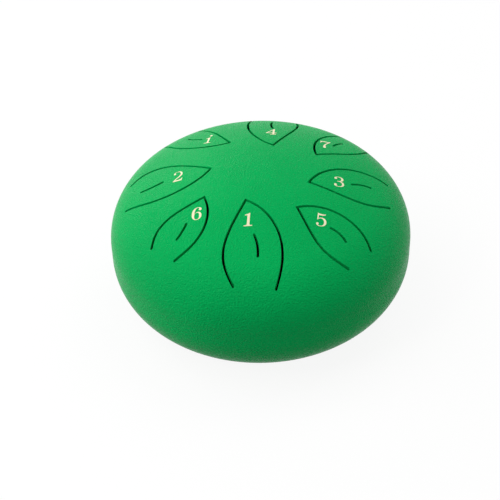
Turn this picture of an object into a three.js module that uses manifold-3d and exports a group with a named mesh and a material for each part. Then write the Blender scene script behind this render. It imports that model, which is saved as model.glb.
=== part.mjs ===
// An eight-note steel tongue drum that stands on three rubber feet.
//
// Two pressed steel shells meet at a flat butt seam round the widest line and are
// welded there. Eight leaf-shaped tongues are cut in the upper shell and stay part of
// its sheet at their roots. The lower shell has a round sound port in its flat base,
// and each foot is clamped to that base by its own screw, washers and nut.
//
// Millimetres, +Z up. The origin is on the drum's axis, on the plane that the feet
// stand on, and the player sits on the -Y side.

import * as THREE from 'three';
import { mergeVertices, toCreasedNormals } from 'three/addons/utils/BufferGeometryUtils.js';
import Module from 'manifold-3d';

// Shells
const drumDiameter = 155;
const sheetThickness = 2;
const domeRadius = 146;
const shoulderRadius = 30;
const rimHeight = 8;
const cornerRadius = 27;
const soundPortDiameter = 40;

// Weld between the two rims
const weldHeight = 1.2;
const weldRootHeight = 0.6;
const weldRootChamfer = 0.3;

// Tongues: each is a leaf whose point faces the drum's centre, with a slit like a vein.
// tipAside is how far the point lies to the straight side of the leaf's axis, and
// rootSkew how much shorter than its length the cut ends on that side. A slit's aside,
// skew and bow are its middle's distance from that axis, its slant and its curve.
const kerfWidth = 1.1;
const slitWidth = 1.1;
const tongues = [
  {
    bearing: -95, rimToRoot: 9.7, length: 44.6, width: 30.2, tipAside: 4.8, rootSkew: 0,
    slit: { fromTip: 20.5, length: 10.2, aside: 1.9, skew: 2.4, bow: 1.2 },
  },
  {
    bearing: -48, rimToRoot: 9.3, length: 36, width: 25.1, tipAside: 4.7, rootSkew: -0.6,
    slit: { fromTip: 18.2, length: 8.9, aside: 0.9, skew: 1.1, bow: 1.8 },
  },
  {
    bearing: -5.8, rimToRoot: 12.5, length: 39.6, width: 26.5, tipAside: 6.4, rootSkew: -0.7,
    slit: { fromTip: 21.3, length: 8.9, aside: 1, skew: 2.3, bow: 1.4 },
  },
  {
    bearing: 37.4, rimToRoot: 9.2, length: 34.9, width: 22.3, tipAside: 5.1, rootSkew: 0,
    slit: { fromTip: 16.4, length: 6.4, aside: 0.7, skew: 1.4, bow: 0.9 },
  },
  {
    bearing: 80.7, rimToRoot: 8.8, length: 44.5, width: 28.3, tipAside: 3.4, rootSkew: 0,
    slit: { fromTip: 23.6, length: 10.6, aside: 0, skew: -0.3, bow: 2 },
  },
  {
    bearing: 129.4, rimToRoot: 8.9, length: 37.7, width: 24.2, tipAside: 6.3, rootSkew: 0,
    slit: { fromTip: 17.4, length: 8.1, aside: 0.2, skew: 2.4, bow: 1.1 },
  },
  {
    bearing: 177, rimToRoot: 10.8, length: 42.3, width: 28.8, tipAside: 2.8, rootSkew: 0.2,
    slit: { fromTip: 24.4, length: 10.5, aside: 2.2, skew: 2.7, bow: 1 },
  },
  {
    bearing: 222.1, rimToRoot: 12, length: 33.6, width: 23.2, tipAside: 5.4, rootSkew: -0.2,
    slit: { fromTip: 16.5, length: 8.2, aside: 1.3, skew: 2.6, bow: 0.6 },
  },
];

// The leaf's two sides from the root on, as shares of its length and width
const straightSide = [
  { along: 0, across: -0.25 },
  { along: 0.3, across: -0.605 },
  { along: 0.525, across: -0.41 },
];
const roundSide = [
  { along: 0, across: 0.42 },
  { along: 0.46, across: 0.657 },
  { along: 0.87, across: 0.293 },
];

// Feet
const footCount = 3;
const firstFootBearing = -90;
const footHeight = 6;
const footDiameter = 16;
const footTaper = 1;
const footEdgeRadius = 1;
const footEdgeMargin = 3.5;

// Fixings of one foot
const screwDiameter = 4;
const screwLength = 11;
const screwPointChamfer = 0.5;
const headDiameter = 8;
const headHeight = 2.3;
const headEdgeRadius = 1.1;
const headGroundClearance = 0.9;
const insertDiameter = 9.4;
const insertThickness = 0.8;
const washerDiameter = 9;
const washerThickness = 0.8;
const nutAcrossFlats = 7;
const nutHeight = 3.2;
const nutChamferAngle = 30;
const shankClearance = 0.3;
const insertClearance = 0.3;

// Facets
const shellSides = 64;
const footSides = 24;
const fixingSides = 16;
const nutCornerSides = 24;
const domeRings = 6;
const shoulderRings = 6;
const cornerRings = 7;
const leafSteps = 8;
const slitSteps = 4;
const capSteps = 3;
const edgeSteps = 2;
const creaseAngle = 30;

// How far a cutting solid runs past the faces that it cuts
const cutOverrun = 2;

// Heights and radii that follow from the sizes above
const drumRadius = drumDiameter / 2;
const baseOuterZ = footHeight;
const baseInnerZ = baseOuterZ + sheetThickness;
const rimBottomZ = baseOuterZ + cornerRadius;
const rimTopZ = rimBottomZ + rimHeight;
const weldBottomZ = (rimBottomZ + rimTopZ - weldHeight) / 2;
const weldTopZ = weldBottomZ + weldHeight;
const shoulderCentreR = drumRadius - shoulderRadius;
const domeCentreZ = rimTopZ - Math.sqrt((domeRadius - shoulderRadius) ** 2 - shoulderCentreR ** 2);
const domeTopZ = domeCentreZ + domeRadius;
const domeEdgeAngle = Math.asin(shoulderCentreR / (domeRadius - shoulderRadius));
const baseEdgeR = drumRadius - cornerRadius;
const footCircleRadius = baseEdgeR - footDiameter / 2 - footEdgeMargin;
const shankRadius = screwDiameter / 2;
const shankHoleRadius = shankRadius + shankClearance;
const headSeatZ = headGroundClearance + headHeight;
const insertTopZ = headSeatZ + insertThickness;
const washerTopZ = baseInnerZ + washerThickness;
const nutTopZ = washerTopZ + nutHeight;
const screwPointZ = headSeatZ + screwLength;

const wasm = await Module();
wasm.setup();

// Solids and geometries

function toSolid(geometry) {
  const positions = new THREE.BufferGeometry();
  positions.setAttribute('position', geometry.getAttribute('position'));
  positions.setIndex(geometry.getIndex());
  const merged = mergeVertices(positions);
  const index = merged.getIndex().array;
  const triangles = [];
  for (let i = 0; i < index.length; i += 3) {
    const [a, b, c] = [index[i], index[i + 1], index[i + 2]];
    if (a !== b && b !== c && c !== a) {
      triangles.push(a, b, c);
    }
  }
  const mesh = new wasm.Mesh({
    numProp: 3,
    vertProperties: new Float32Array(merged.getAttribute('position').array),
    triVerts: new Uint32Array(triangles),
  });
  return new wasm.Manifold(mesh);
}

function toGeometry(solid) {
  const mesh = solid.getMesh();
  const geometry = new THREE.BufferGeometry();
  geometry.setAttribute('position', new THREE.BufferAttribute(mesh.vertProperties, 3));
  geometry.setIndex(new THREE.BufferAttribute(mesh.triVerts, 1));
  return toCreasedNormals(geometry, degrees(creaseAngle));
}

function cutAll(solid, cutters) {
  return cutters.reduce((rest, cutter) => rest.subtract(cutter), solid);
}

// A body of revolution about +Z. The profile is a list of [radius, height] pairs, read
// with the material on its left.
function revolve(profile, sides) {
  const points = profile.map(([radius, height]) => new THREE.Vector2(radius, height));
  const geometry = new THREE.LatheGeometry(points, sides);
  geometry.rotateX(Math.PI / 2);
  return toSolid(geometry);
}

// A prism of a flat outline, from one height to another
function prism(shape, bottom, top) {
  const geometry = new THREE.ExtrudeGeometry(shape, { depth: top - bottom, bevelEnabled: false });
  geometry.translate(0, 0, bottom);
  return toSolid(geometry);
}

function rod(radius, bottom, top, sides) {
  return revolve([[0, bottom], [radius, bottom], [radius, top], [0, top]], sides);
}

function ring(innerRadius, outerRadius, bottom, top, sides) {
  const profile = [
    [innerRadius, bottom],
    [outerRadius, bottom],
    [outerRadius, top],
    [innerRadius, top],
    [innerRadius, bottom],
  ];
  return revolve(profile, sides);
}

// Points of an arc in the profile plane, both ends included. Angles are in radians from
// the outward direction, positive upwards.
function arc(centreRadius, centreHeight, radius, from, to, steps) {
  const points = [];
  for (let i = 0; i <= steps; i += 1) {
    const angle = from + (to - from) * i / steps;
    points.push([centreRadius + radius * Math.cos(angle), centreHeight + radius * Math.sin(angle)]);
  }
  return points;
}

function degrees(angle) {
  return THREE.MathUtils.degToRad(angle);
}

// Shells

// The crown line from the rim to the axis, pressed in from the outer face by inset
function crownLine(inset) {
  const edgeAngle = Math.PI / 2 - domeEdgeAngle;
  const shoulder = arc(shoulderCentreR, rimTopZ, shoulderRadius - inset, 0, edgeAngle, shoulderRings);
  const dome = arc(0, domeCentreZ, domeRadius - inset, edgeAngle, Math.PI / 2, domeRings).slice(1, -1);
  return [...shoulder, ...dome, [0, domeTopZ - inset]];
}

function upperBlank() {
  const inside = crownLine(sheetThickness).reverse();
  const outside = crownLine(0);
  const rim = [[drumRadius - sheetThickness, weldTopZ], [drumRadius, weldTopZ]];
  return revolve([...inside, ...rim, ...outside], shellSides);
}

function lowerBlank() {
  const portRadius = soundPortDiameter / 2;
  const quarter = Math.PI / 2;
  const outside = arc(baseEdgeR, rimBottomZ, cornerRadius, -quarter, 0, cornerRings);
  const inside = arc(baseEdgeR, rimBottomZ, cornerRadius - sheetThickness, 0, -quarter, cornerRings);
  const profile = [
    [portRadius, baseOuterZ],
    ...outside,
    [drumRadius, weldBottomZ],
    [drumRadius - sheetThickness, weldBottomZ],
    ...inside,
    [portRadius, baseInnerZ],
    [portRadius, baseOuterZ],
  ];
  return revolve(profile, shellSides);
}

// Tongues

// A place on a leaf in the drum's plan view: how far it lies from the root towards the
// centre, and how far to the round side of the leaf's axis
function leafPlace(tongue, along, across) {
  const radius = drumRadius - tongue.rimToRoot - along;
  const bearing = degrees(tongue.bearing);
  return new THREE.Vector2(
    radius * Math.cos(bearing) - across * Math.sin(bearing),
    radius * Math.sin(bearing) + across * Math.cos(bearing),
  );
}

// One side of a leaf, from a start that lies rootOffset further in than the root
function leafSidePoints(tongue, side, rootOffset) {
  const [root, ...bends] = side.map(({ along, across }) => [along * tongue.length, across * tongue.width]);
  const ends = [[root[0] + rootOffset, root[1]], ...bends, [tongue.length, -tongue.tipAside]];
  const places = ends.map(([along, across]) => leafPlace(tongue, along, across));
  return new THREE.CubicBezierCurve(...places).getPoints(leafSteps);
}

// The cut that frees a tongue: up one side, round the point and back down the other
function kerfLine(tongue) {
  const up = leafSidePoints(tongue, straightSide, tongue.rootSkew);
  const down = leafSidePoints(tongue, roundSide, -tongue.rootSkew).reverse();
  return [...up, ...down.slice(1)];
}

function slitLine(tongue) {
  const { fromTip, length, aside, skew, bow } = tongue.slit;
  const inner = tongue.length - fromTip;
  const curve = new THREE.QuadraticBezierCurve(
    leafPlace(tongue, inner, aside - skew / 2),
    leafPlace(tongue, inner - length / 2, aside + bow),
    leafPlace(tongue, inner - length, aside + skew / 2),
  );
  return curve.getPoints(slitSteps);
}

function leftNormal(from, to) {
  return new THREE.Vector2(from.y - to.y, to.x - from.x).normalize();
}

// The outline of a cut of even width along a line, with mitred corners and round ends
function cutOutline(line, width) {
  const last = line.length - 1;
  const left = [];
  const right = [];
  for (let i = 0; i <= last; i += 1) {
    const before = leftNormal(line[Math.max(i - 1, 0)], line[Math.max(i, 1)]);
    const after = leftNormal(line[Math.min(i, last - 1)], line[Math.min(i + 1, last)]);
    const mitre = before.clone().add(after).normalize();
    const reach = width / 2 / mitre.dot(before);
    left.push(line[i].clone().addScaledVector(mitre, reach));
    right.push(line[i].clone().addScaledVector(mitre, -reach));
  }
  const farCap = roundEnd(line[last], left[last]);
  const nearCap = roundEnd(line[0], right[0]);
  return [...left, ...farCap, ...right.reverse(), ...nearCap];
}

// The half circle that closes a cut, turning clockwise from one edge to the other
function roundEnd(centre, start) {
  const points = [];
  for (let i = 1; i < 2 * capSteps; i += 1) {
    const turn = -Math.PI * i / (2 * capSteps);
    points.push(start.clone().rotateAround(centre, turn));
  }
  return points;
}

function cutter(line, width) {
  return prism(new THREE.Shape(cutOutline(line, width)), rimTopZ, domeTopZ + cutOverrun);
}

// Feet and their fixings

function footPlaces() {
  const places = [];
  for (let i = 0; i < footCount; i += 1) {
    const bearing = degrees(firstFootBearing + 360 * i / footCount);
    places.push(new THREE.Vector3(
      footCircleRadius * Math.cos(bearing),
      footCircleRadius * Math.sin(bearing),
      0,
    ));
  }
  return places;
}

// A tapered rubber foot, recessed from below for the washer and the screw's head
function rubberFoot() {
  const topRadius = footDiameter / 2;
  const bottomRadius = topRadius - footTaper / 2;
  const recessRadius = insertDiameter / 2 + insertClearance;
  const edge = arc(bottomRadius - footEdgeRadius, footEdgeRadius, footEdgeRadius, -Math.PI / 2, 0, edgeSteps);
  const profile = [
    [recessRadius, 0],
    ...edge,
    [topRadius, baseOuterZ],
    [shankHoleRadius, baseOuterZ],
    [shankHoleRadius, insertTopZ],
    [recessRadius, insertTopZ],
    [recessRadius, 0],
  ];
  return revolve(profile, footSides);
}

// A pan-head screw, head down
function screw() {
  const headRadius = headDiameter / 2;
  const crown = arc(
    headRadius - headEdgeRadius,
    headGroundClearance + headEdgeRadius,
    headEdgeRadius,
    -Math.PI / 2,
    0,
    edgeSteps,
  );
  const profile = [
    [0, headGroundClearance],
    ...crown,
    [headRadius, headSeatZ],
    [shankRadius, headSeatZ],
    [shankRadius, screwPointZ - screwPointChamfer],
    [shankRadius - screwPointChamfer, screwPointZ],
    [0, screwPointZ],
  ];
  return revolve(profile, fixingSides);
}

// A hexagon nut with its corners turned off at both faces
function nut() {
  const nutCornerRadius = nutAcrossFlats / Math.sqrt(3);
  const faceRadius = nutAcrossFlats / 2;
  const cornerDrop = (nutCornerRadius - faceRadius) * Math.tan(degrees(nutChamferAngle));
  const axis = new THREE.Vector2();
  const corners = [];
  for (let i = 0; i < 6; i += 1) {
    corners.push(new THREE.Vector2(nutCornerRadius, 0).rotateAround(axis, i * Math.PI / 3));
  }
  const hexagon = prism(new THREE.Shape(corners), washerTopZ, nutTopZ);
  const turned = revolve([
    [0, washerTopZ],
    [faceRadius, washerTopZ],
    [nutCornerRadius, washerTopZ + cornerDrop],
    [nutCornerRadius, nutTopZ - cornerDrop],
    [faceRadius, nutTopZ],
    [0, nutTopZ],
  ], nutCornerSides);
  const bore = rod(shankHoleRadius, washerTopZ - cutOverrun, nutTopZ + cutOverrun, fixingSides);
  return hexagon.intersect(turned).subtract(bore);
}

// Finished pieces

function upperShell() {
  const kerfs = tongues.map((tongue) => cutter(kerfLine(tongue), kerfWidth));
  const slits = tongues.map((tongue) => cutter(slitLine(tongue), slitWidth));
  return cutAll(upperBlank(), [...kerfs, ...slits]);
}

function lowerShell() {
  const hole = rod(shankHoleRadius, baseOuterZ - cutOverrun, baseInnerZ + cutOverrun, fixingSides);
  return cutAll(lowerBlank(), footPlaces().map((place) => hole.translate(place.x, place.y, place.z)));
}

// The weld is ground flush outside and leaves a low bead inside
function seamWeld() {
  const innerRadius = drumRadius - sheetThickness;
  const beadRadius = innerRadius - weldRootHeight;
  const profile = [
    [innerRadius, weldBottomZ],
    [drumRadius, weldBottomZ],
    [drumRadius, weldTopZ],
    [innerRadius, weldTopZ],
    [beadRadius, weldTopZ - weldRootChamfer],
    [beadRadius, weldBottomZ + weldRootChamfer],
    [innerRadius, weldBottomZ],
  ];
  return revolve(profile, shellSides);
}

const finishes = {
  greenCoat: new THREE.MeshStandardMaterial({ color: 0x0a9a52, roughness: 0.5, metalness: 0 }),
  blackRubber: new THREE.MeshStandardMaterial({ color: 0x1b1b1c, roughness: 0.85, metalness: 0 }),
  zincSteel: new THREE.MeshStandardMaterial({ color: 0xb4b7ba, roughness: 0.35, metalness: 1 }),
};

function piece(name, solid, finish) {
  const mesh = new THREE.Mesh(toGeometry(solid), finish);
  mesh.name = name;
  return mesh;
}

function footAssembly(place, number) {
  const assembly = new THREE.Group();
  const insert = ring(shankHoleRadius, insertDiameter / 2, headSeatZ, insertTopZ, fixingSides);
  const washer = ring(shankHoleRadius, washerDiameter / 2, baseInnerZ, washerTopZ, fixingSides);
  assembly.add(
    piece(`rubber_foot_${number}`, rubberFoot(), finishes.blackRubber),
    piece(`foot_insert_washer_${number}`, insert, finishes.zincSteel),
    piece(`foot_screw_${number}`, screw(), finishes.zincSteel),
    piece(`inner_washer_${number}`, washer, finishes.zincSteel),
    piece(`foot_nut_${number}`, nut(), finishes.zincSteel),
  );
  assembly.position.copy(place);
  return assembly;
}

const drum = new THREE.Group();
drum.name = 'tongue_drum';
drum.add(
  piece('upper_shell', upperShell(), finishes.greenCoat),
  piece('lower_shell', lowerShell(), finishes.greenCoat),
  piece('seam_weld', seamWeld(), finishes.greenCoat),
);
footPlaces().forEach((place, i) => drum.add(footAssembly(place, i + 1)));

export default drum;
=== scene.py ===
"""Looks of a small green steel tongue drum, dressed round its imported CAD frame.

Lengths are in millimetres until a mesh is made, and the scene's objects are in metres.
The drum's axis is +Z, the feet stand on z = 0 and the player sits on the -Y side.
"""

import math
from typing import NamedTuple

import bpy
import numpy as np
from mathutils import Matrix, Vector
from mathutils.geometry import delaunay_2d_cdt

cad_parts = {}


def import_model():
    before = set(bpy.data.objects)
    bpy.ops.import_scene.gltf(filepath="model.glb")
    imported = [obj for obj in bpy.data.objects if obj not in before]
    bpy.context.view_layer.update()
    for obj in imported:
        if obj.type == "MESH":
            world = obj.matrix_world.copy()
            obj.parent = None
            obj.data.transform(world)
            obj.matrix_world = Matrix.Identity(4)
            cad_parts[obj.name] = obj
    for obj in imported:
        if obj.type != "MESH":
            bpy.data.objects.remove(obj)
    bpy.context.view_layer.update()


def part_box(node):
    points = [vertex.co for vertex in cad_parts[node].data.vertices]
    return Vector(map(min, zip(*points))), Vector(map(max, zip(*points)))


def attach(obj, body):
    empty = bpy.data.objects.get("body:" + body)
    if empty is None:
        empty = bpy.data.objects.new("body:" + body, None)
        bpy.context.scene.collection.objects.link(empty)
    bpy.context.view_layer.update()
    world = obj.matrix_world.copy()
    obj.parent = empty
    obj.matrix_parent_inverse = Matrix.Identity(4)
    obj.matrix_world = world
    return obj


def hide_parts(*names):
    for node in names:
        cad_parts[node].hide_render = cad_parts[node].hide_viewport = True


MM = 0.001

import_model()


def node_box(node):
    """Lowest and highest corner of a CAD node, in millimetres."""
    low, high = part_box(node)
    return low / MM, high / MM


def node_middle(node):
    """The plan position of a CAD node's middle."""
    low, high = node_box(node)
    return (low.x + high.x) / 2, (low.y + high.y) / 2


# Sizes that the CAD frame gives
upper_low, upper_high = node_box("upper_shell")
lower_low, lower_high = node_box("lower_shell")
DRUM_RADIUS = (upper_high.x - upper_low.x) / 2
DOME_TOP = upper_high.z
WELD_TOP = upper_low.z
WELD_BOTTOM = lower_high.z
BASE_OUTER = lower_low.z

# The pressed shells
SHEET = 2.0
DOME_RADIUS = 146.0
SHOULDER_RADIUS = 30.0
RIM_HEIGHT = 8.0
CORNER_RADIUS = 27.0
PORT_RADIUS = 20.0
FOOT_HOLE_RADIUS = 2.3
WELD_BEAD = 0.6
RIM_MIDDLE = (WELD_TOP + WELD_BOTTOM) / 2
RIM_TOP = RIM_MIDDLE + RIM_HEIGHT / 2
RIM_BOTTOM = RIM_MIDDLE - RIM_HEIGHT / 2
SHOULDER_CENTRE = DRUM_RADIUS - SHOULDER_RADIUS
DOME_EDGE_ANGLE = math.asin(SHOULDER_CENTRE / (DOME_RADIUS - SHOULDER_RADIUS))
DOME_CENTRE = DOME_TOP - DOME_RADIUS
BASE_EDGE = DRUM_RADIUS - CORNER_RADIUS

# The laser cuts and their painted edges
KERF_WIDTH = 1.2
SLIT_WIDTH = 1.2
CUT_LIP = 0.12
PORT_LIP = 0.7
KERF_PAINTED = 0.95
# Round holes are coated only at their mouths; below that their walls take the near-black primer as
# painted shade.
PORT_PAINTED = 0.1


class Slit(NamedTuple):
    """The tuning slit of a tongue, from the tongue's tip towards its root."""

    from_tip: float
    length: float
    aside: float
    skew: float
    bow: float


class Tongue(NamedTuple):
    """A leaf that points inwards. Its bearing is in degrees from +X, anticlockwise."""

    bearing: float
    rim_to_root: float
    length: float
    width: float
    tip_aside: float
    root_skew: float
    slit: Slit


TONGUES = {
    "1": Tongue(-95, 9.7, 44.6, 30.2, 4.8, 0, Slit(20.4, 11.1, 2, 2.5, 1.4)),
    "5": Tongue(-48, 9.3, 36, 25.1, 4.7, -0.6, Slit(18.2, 9, 0.9, 1.1, 1.8)),
    "3": Tongue(-5.8, 12.5, 39.6, 26.5, 6.4, -0.7, Slit(21.2, 9.2, 1, 2.3, 1.4)),
    "7": Tongue(37.4, 9.2, 34.9, 22.3, 5.1, 0, Slit(15.6, 7.5, 0.6, 1.6, 1)),
    "4": Tongue(80.7, 8.8, 45.1, 28.3, 3.8, 0, Slit(22.6, 11.8, 0.6, 2.1, 1.6)),
    "high_1": Tongue(129.4, 8.9, 37.7, 24.2, 6.3, -1.5, Slit(17.4, 8.1, 0.2, 2.4, 1.1)),
    "2": Tongue(177, 10.8, 42.3, 28.8, 2.8, 0.2, Slit(24.4, 10.9, 2.2, 2.8, 1)),
    "6": Tongue(222.1, 12.2, 33.4, 23.2, 5.4, -0.8, Slit(16.4, 8.5, 1.3, 2.6, 0.6)),
}

# Bends of a leaf's sides, as shares of its length along it and of its width across it
STRAIGHT_SIDE = [(0, -0.25), (0.3, -0.605), (0.525, -0.41)]
ROUND_SIDE = [(0, 0.42), (0.46, 0.657), (0.87, 0.293)]

# Mesh fineness
RIM_POINTS = 256
LEAST_RING_POINTS = 6
FACE_SPACING = 1.6
HOLE_CLEARANCE = 0.55 * FACE_SPACING
JOIN_DECIMALS = 4
NEXT_TO_NOTHING = 1e-6
LEAF_STEPS = 40
SLIT_STEPS = 10
CAP_STEPS = 6
LIP_STEPS = 3
PORT_SIDES = 128
HOLE_SIDES = 32
CREASE_ANGLE = math.radians(35)

# The materials of a pressed shell, by their slots
OUTSIDE = 0
LOWER_WALL = 1
INSIDE = 2


class Mesh:
    """Gathers faces, joining corners that coincide. Where every face comes with a normal
    at each corner they shade the mesh, and otherwise its sharp edges are found by angle."""

    def __init__(self):
        self.index = {}
        self.points = []
        self.faces = []
        self.normals = []
        self.finishes = []

    def face(self, points, normals=None, finish=0):
        corners = []
        kept = []
        for i, point in enumerate(points):
            key = tuple(round(value, JOIN_DECIMALS) for value in point)
            if key not in self.index:
                self.index[key] = len(self.points)
                self.points.append(point)
            corner = self.index[key]
            if corner not in corners:
                corners.append(corner)
                kept.append(i)
        if len(corners) > 2:
            self.faces.append(corners)
            self.finishes.append(finish)
            if normals:
                self.normals.extend(normals[i] for i in kept)

    def strip(self, rows, row_normals=None, finish=0):
        """Quads between closed rows of points, which run the same way round."""
        for i in range(len(rows) - 1):
            count = len(rows[i])
            for a in range(count):
                b = (a + 1) % count
                corners = [(i, a), (i, b), (i + 1, b), (i + 1, a)]
                points = [rows[row][k] for row, k in corners]
                normals = row_normals and [row_normals[row][k] for row, k in corners]
                self.face(points, normals, finish)

    def build(self, name, materials):
        mesh = bpy.data.meshes.new(name)
        mesh.from_pydata([Vector(p) * MM for p in self.points], [], self.faces)
        for material in materials:
            mesh.materials.append(material)
        mesh.polygons.foreach_set("material_index", self.finishes)
        mesh.polygons.foreach_set("use_smooth", [True] * len(self.faces))
        if self.normals:
            mesh.normals_split_custom_set([Vector(n).normalized() for n in self.normals])
        else:
            mesh.set_sharp_from_angle(angle=CREASE_ANGLE)
        mesh.update()
        obj = bpy.data.objects.new(name, mesh)
        bpy.context.scene.collection.objects.link(obj)
        return obj


def turns(sides):
    return [2 * math.pi * i / sides for i in range(sides)]


# Meridians of the shells: a face is measured by its distance along it from the axis


class Crown:
    """The upper shell's outer face, or the face that lies inset below it."""

    def __init__(self, inset):
        self.side = 1 if inset == 0 else -1
        self.dome = DOME_RADIUS - inset
        self.shoulder = SHOULDER_RADIUS - inset
        self.dome_length = self.dome * DOME_EDGE_ANGLE
        self.bend = self.dome_length + self.shoulder * (math.pi / 2 - DOME_EDGE_ANGLE)
        self.length = self.bend + RIM_TOP - WELD_TOP
        self.dome_edge = self.dome * math.sin(DOME_EDGE_ANGLE)

    def reach(self, radius):
        """Distance along the meridian to a radius of the plan view."""
        if radius <= self.dome_edge:
            return self.dome * math.asin(radius / self.dome)
        angle = math.asin(min((radius - SHOULDER_CENTRE) / self.shoulder, 1))
        return self.dome_length + self.shoulder * (angle - DOME_EDGE_ANGLE)

    def place(self, distance):
        """Radius and height at a distance, with the face's normal there."""
        if distance <= self.dome_length:
            angle = distance / self.dome
            radius = self.dome * math.sin(angle)
            height = DOME_CENTRE + self.dome * math.cos(angle)
        elif distance <= self.bend:
            angle = DOME_EDGE_ANGLE + (distance - self.dome_length) / self.shoulder
            radius = SHOULDER_CENTRE + self.shoulder * math.sin(angle)
            height = RIM_TOP + self.shoulder * math.cos(angle)
        else:
            angle = math.pi / 2
            radius = SHOULDER_CENTRE + self.shoulder
            height = RIM_TOP - (distance - self.bend)
        return radius, height, self.side * math.sin(angle), self.side * math.cos(angle)


class Pan:
    """The lower shell's outer face, or the face that lies inset above it."""

    def __init__(self, inset):
        self.side = 1 if inset == 0 else -1
        self.corner = CORNER_RADIUS - inset
        self.base = BASE_OUTER + inset
        self.bend = BASE_EDGE + self.corner * math.pi / 2
        self.length = self.bend + WELD_BOTTOM - RIM_BOTTOM

    def reach(self, radius):
        """Distance along the meridian to a radius on the flat base."""
        return radius

    def place(self, distance):
        """Radius and height at a distance, with the face's normal there."""
        if distance <= BASE_EDGE:
            angle = 0
            radius = distance
            height = self.base
        elif distance <= self.bend:
            angle = (distance - BASE_EDGE) / self.corner
            radius = BASE_EDGE + self.corner * math.sin(angle)
            height = RIM_BOTTOM - self.corner * math.cos(angle)
        else:
            angle = math.pi / 2
            radius = BASE_EDGE + self.corner
            height = RIM_BOTTOM + (distance - self.bend)
        return radius, height, self.side * math.sin(angle), -self.side * math.cos(angle)


def on_face(face, x, y):
    """The point of a face above or below a plan position, and its normal."""
    radius = math.hypot(x, y)
    _, height, out, up = face.place(face.reach(radius))
    if radius < NEXT_TO_NOTHING:
        return (x, y, height), (0.0, 0.0, up)
    return (x, y, height), (out * x / radius, out * y / radius, up)


def laid_out(face, x, y):
    """A plan position, moved out to its distance along the meridian."""
    radius = math.hypot(x, y)
    if radius < NEXT_TO_NOTHING:
        return (0.0, 0.0)
    scale = face.reach(radius) / radius
    return (x * scale, y * scale)


def put_back(face, u, v):
    """The point and normal of a face at a laid-out position."""
    distance = math.hypot(u, v)
    radius, height, out, up = face.place(min(distance, face.length))
    if distance < NEXT_TO_NOTHING:
        return (0.0, 0.0, height), (0.0, 0.0, up)
    cos, sin = u / distance, v / distance
    return (radius * cos, radius * sin, height), (out * cos, out * sin, up)


def rim_ring(length):
    return [(length * math.cos(t), length * math.sin(t)) for t in turns(RIM_POINTS)]


def inside(polygon, points):
    """Which of the points lie in a closed polygon, by the even-odd rule."""
    x, y = points[:, 0], points[:, 1]
    found = np.zeros(len(points), bool)
    for (x1, y1), (x2, y2) in zip(polygon, np.roll(polygon, -1, axis=0)):
        if y1 != y2:
            crosses = (y1 > y) != (y2 > y)
            found ^= crosses & (x < (x2 - x1) * (y - y1) / (y2 - y1) + x1)
    return found


def face_grid(length, loops):
    """Evenly spread points of a round face that keep clear of its holes."""
    points = [(0.0, 0.0)]
    rings = round(length / FACE_SPACING)
    for i in range(1, rings):
        reach = length * i / rings
        count = max(LEAST_RING_POINTS, round(2 * math.pi * reach / FACE_SPACING))
        if i == rings - 1:
            count = RIM_POINTS
        half_step = 0.5 * (i % 2)
        for k in range(count):
            angle = 2 * math.pi * (k + half_step) / count
            points.append((reach * math.cos(angle), reach * math.sin(angle)))
    points = np.array(points)
    keep = np.ones(len(points), bool)
    for loop in loops:
        loop = np.array(loop)
        middle = loop.mean(0)
        size = np.hypot(*(loop - middle).T).max() + FACE_SPACING
        near = np.flatnonzero(np.hypot(*(points - middle).T) < size)
        gaps = np.hypot(*(points[near, None] - loop[None]).transpose(2, 0, 1)).min(1)
        keep[near[gaps < HOLE_CLEARANCE]] = False
        keep[near[inside(loop, points[near])]] = False
    return [tuple(p) for p in points[keep]]


def closed_edges(first, count):
    return [(first + i, first + (i + 1) % count) for i in range(count)]


def add_face(mesh, face, plan_loops, finish):
    """Fills one face of a shell, from its rim to the edges of its holes. The points that
    go in come out unrounded, so that the rim and the holes' walls join on to them."""
    loops = [[laid_out(face, x, y) for x, y in loop] for loop in plan_loops]
    points = []
    edges = []
    for loop in [rim_ring(face.length), *loops]:
        edges.extend(closed_edges(len(points), len(loop)))
        points.extend(loop)
    points.extend(face_grid(face.length, loops))
    made = delaunay_2d_cdt([Vector(p) for p in points], edges, [], 0, NEXT_TO_NOTHING)
    flat = np.array([points[given[0]] if given else spot for spot, given in zip(made[0], made[3])])
    triangles = np.array(made[2])
    centres = flat[triangles].mean(1)
    filled = np.ones(len(triangles), bool)
    for loop in loops:
        filled &= ~inside(np.array(loop), centres)
    outward = face.place(0)[3] > 0
    for triangle in triangles[filled]:
        corners = [put_back(face, *flat[i]) for i in triangle]
        if not outward:
            corners.reverse()
        mesh.face([c[0] for c in corners], [c[1] for c in corners], finish)


class Hole(NamedTuple):
    """A hole through a sheet. outline gives its edge, wider all round by what it is asked
    for, lip is the radius of its rounded edge, and painted is the share of its wall that
    the coat covers."""

    outline: object
    lip: float
    painted: float


def lip_turns():
    return [math.pi / 2 * i / LIP_STEPS for i in range(LIP_STEPS + 1)]


def lip_outlines(hole):
    """The hole's outline at each step of its rounded edge, from the widest to the true one."""
    return [hole.outline(hole.lip * (1 - math.sin(turn))) for turn in lip_turns()]


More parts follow.
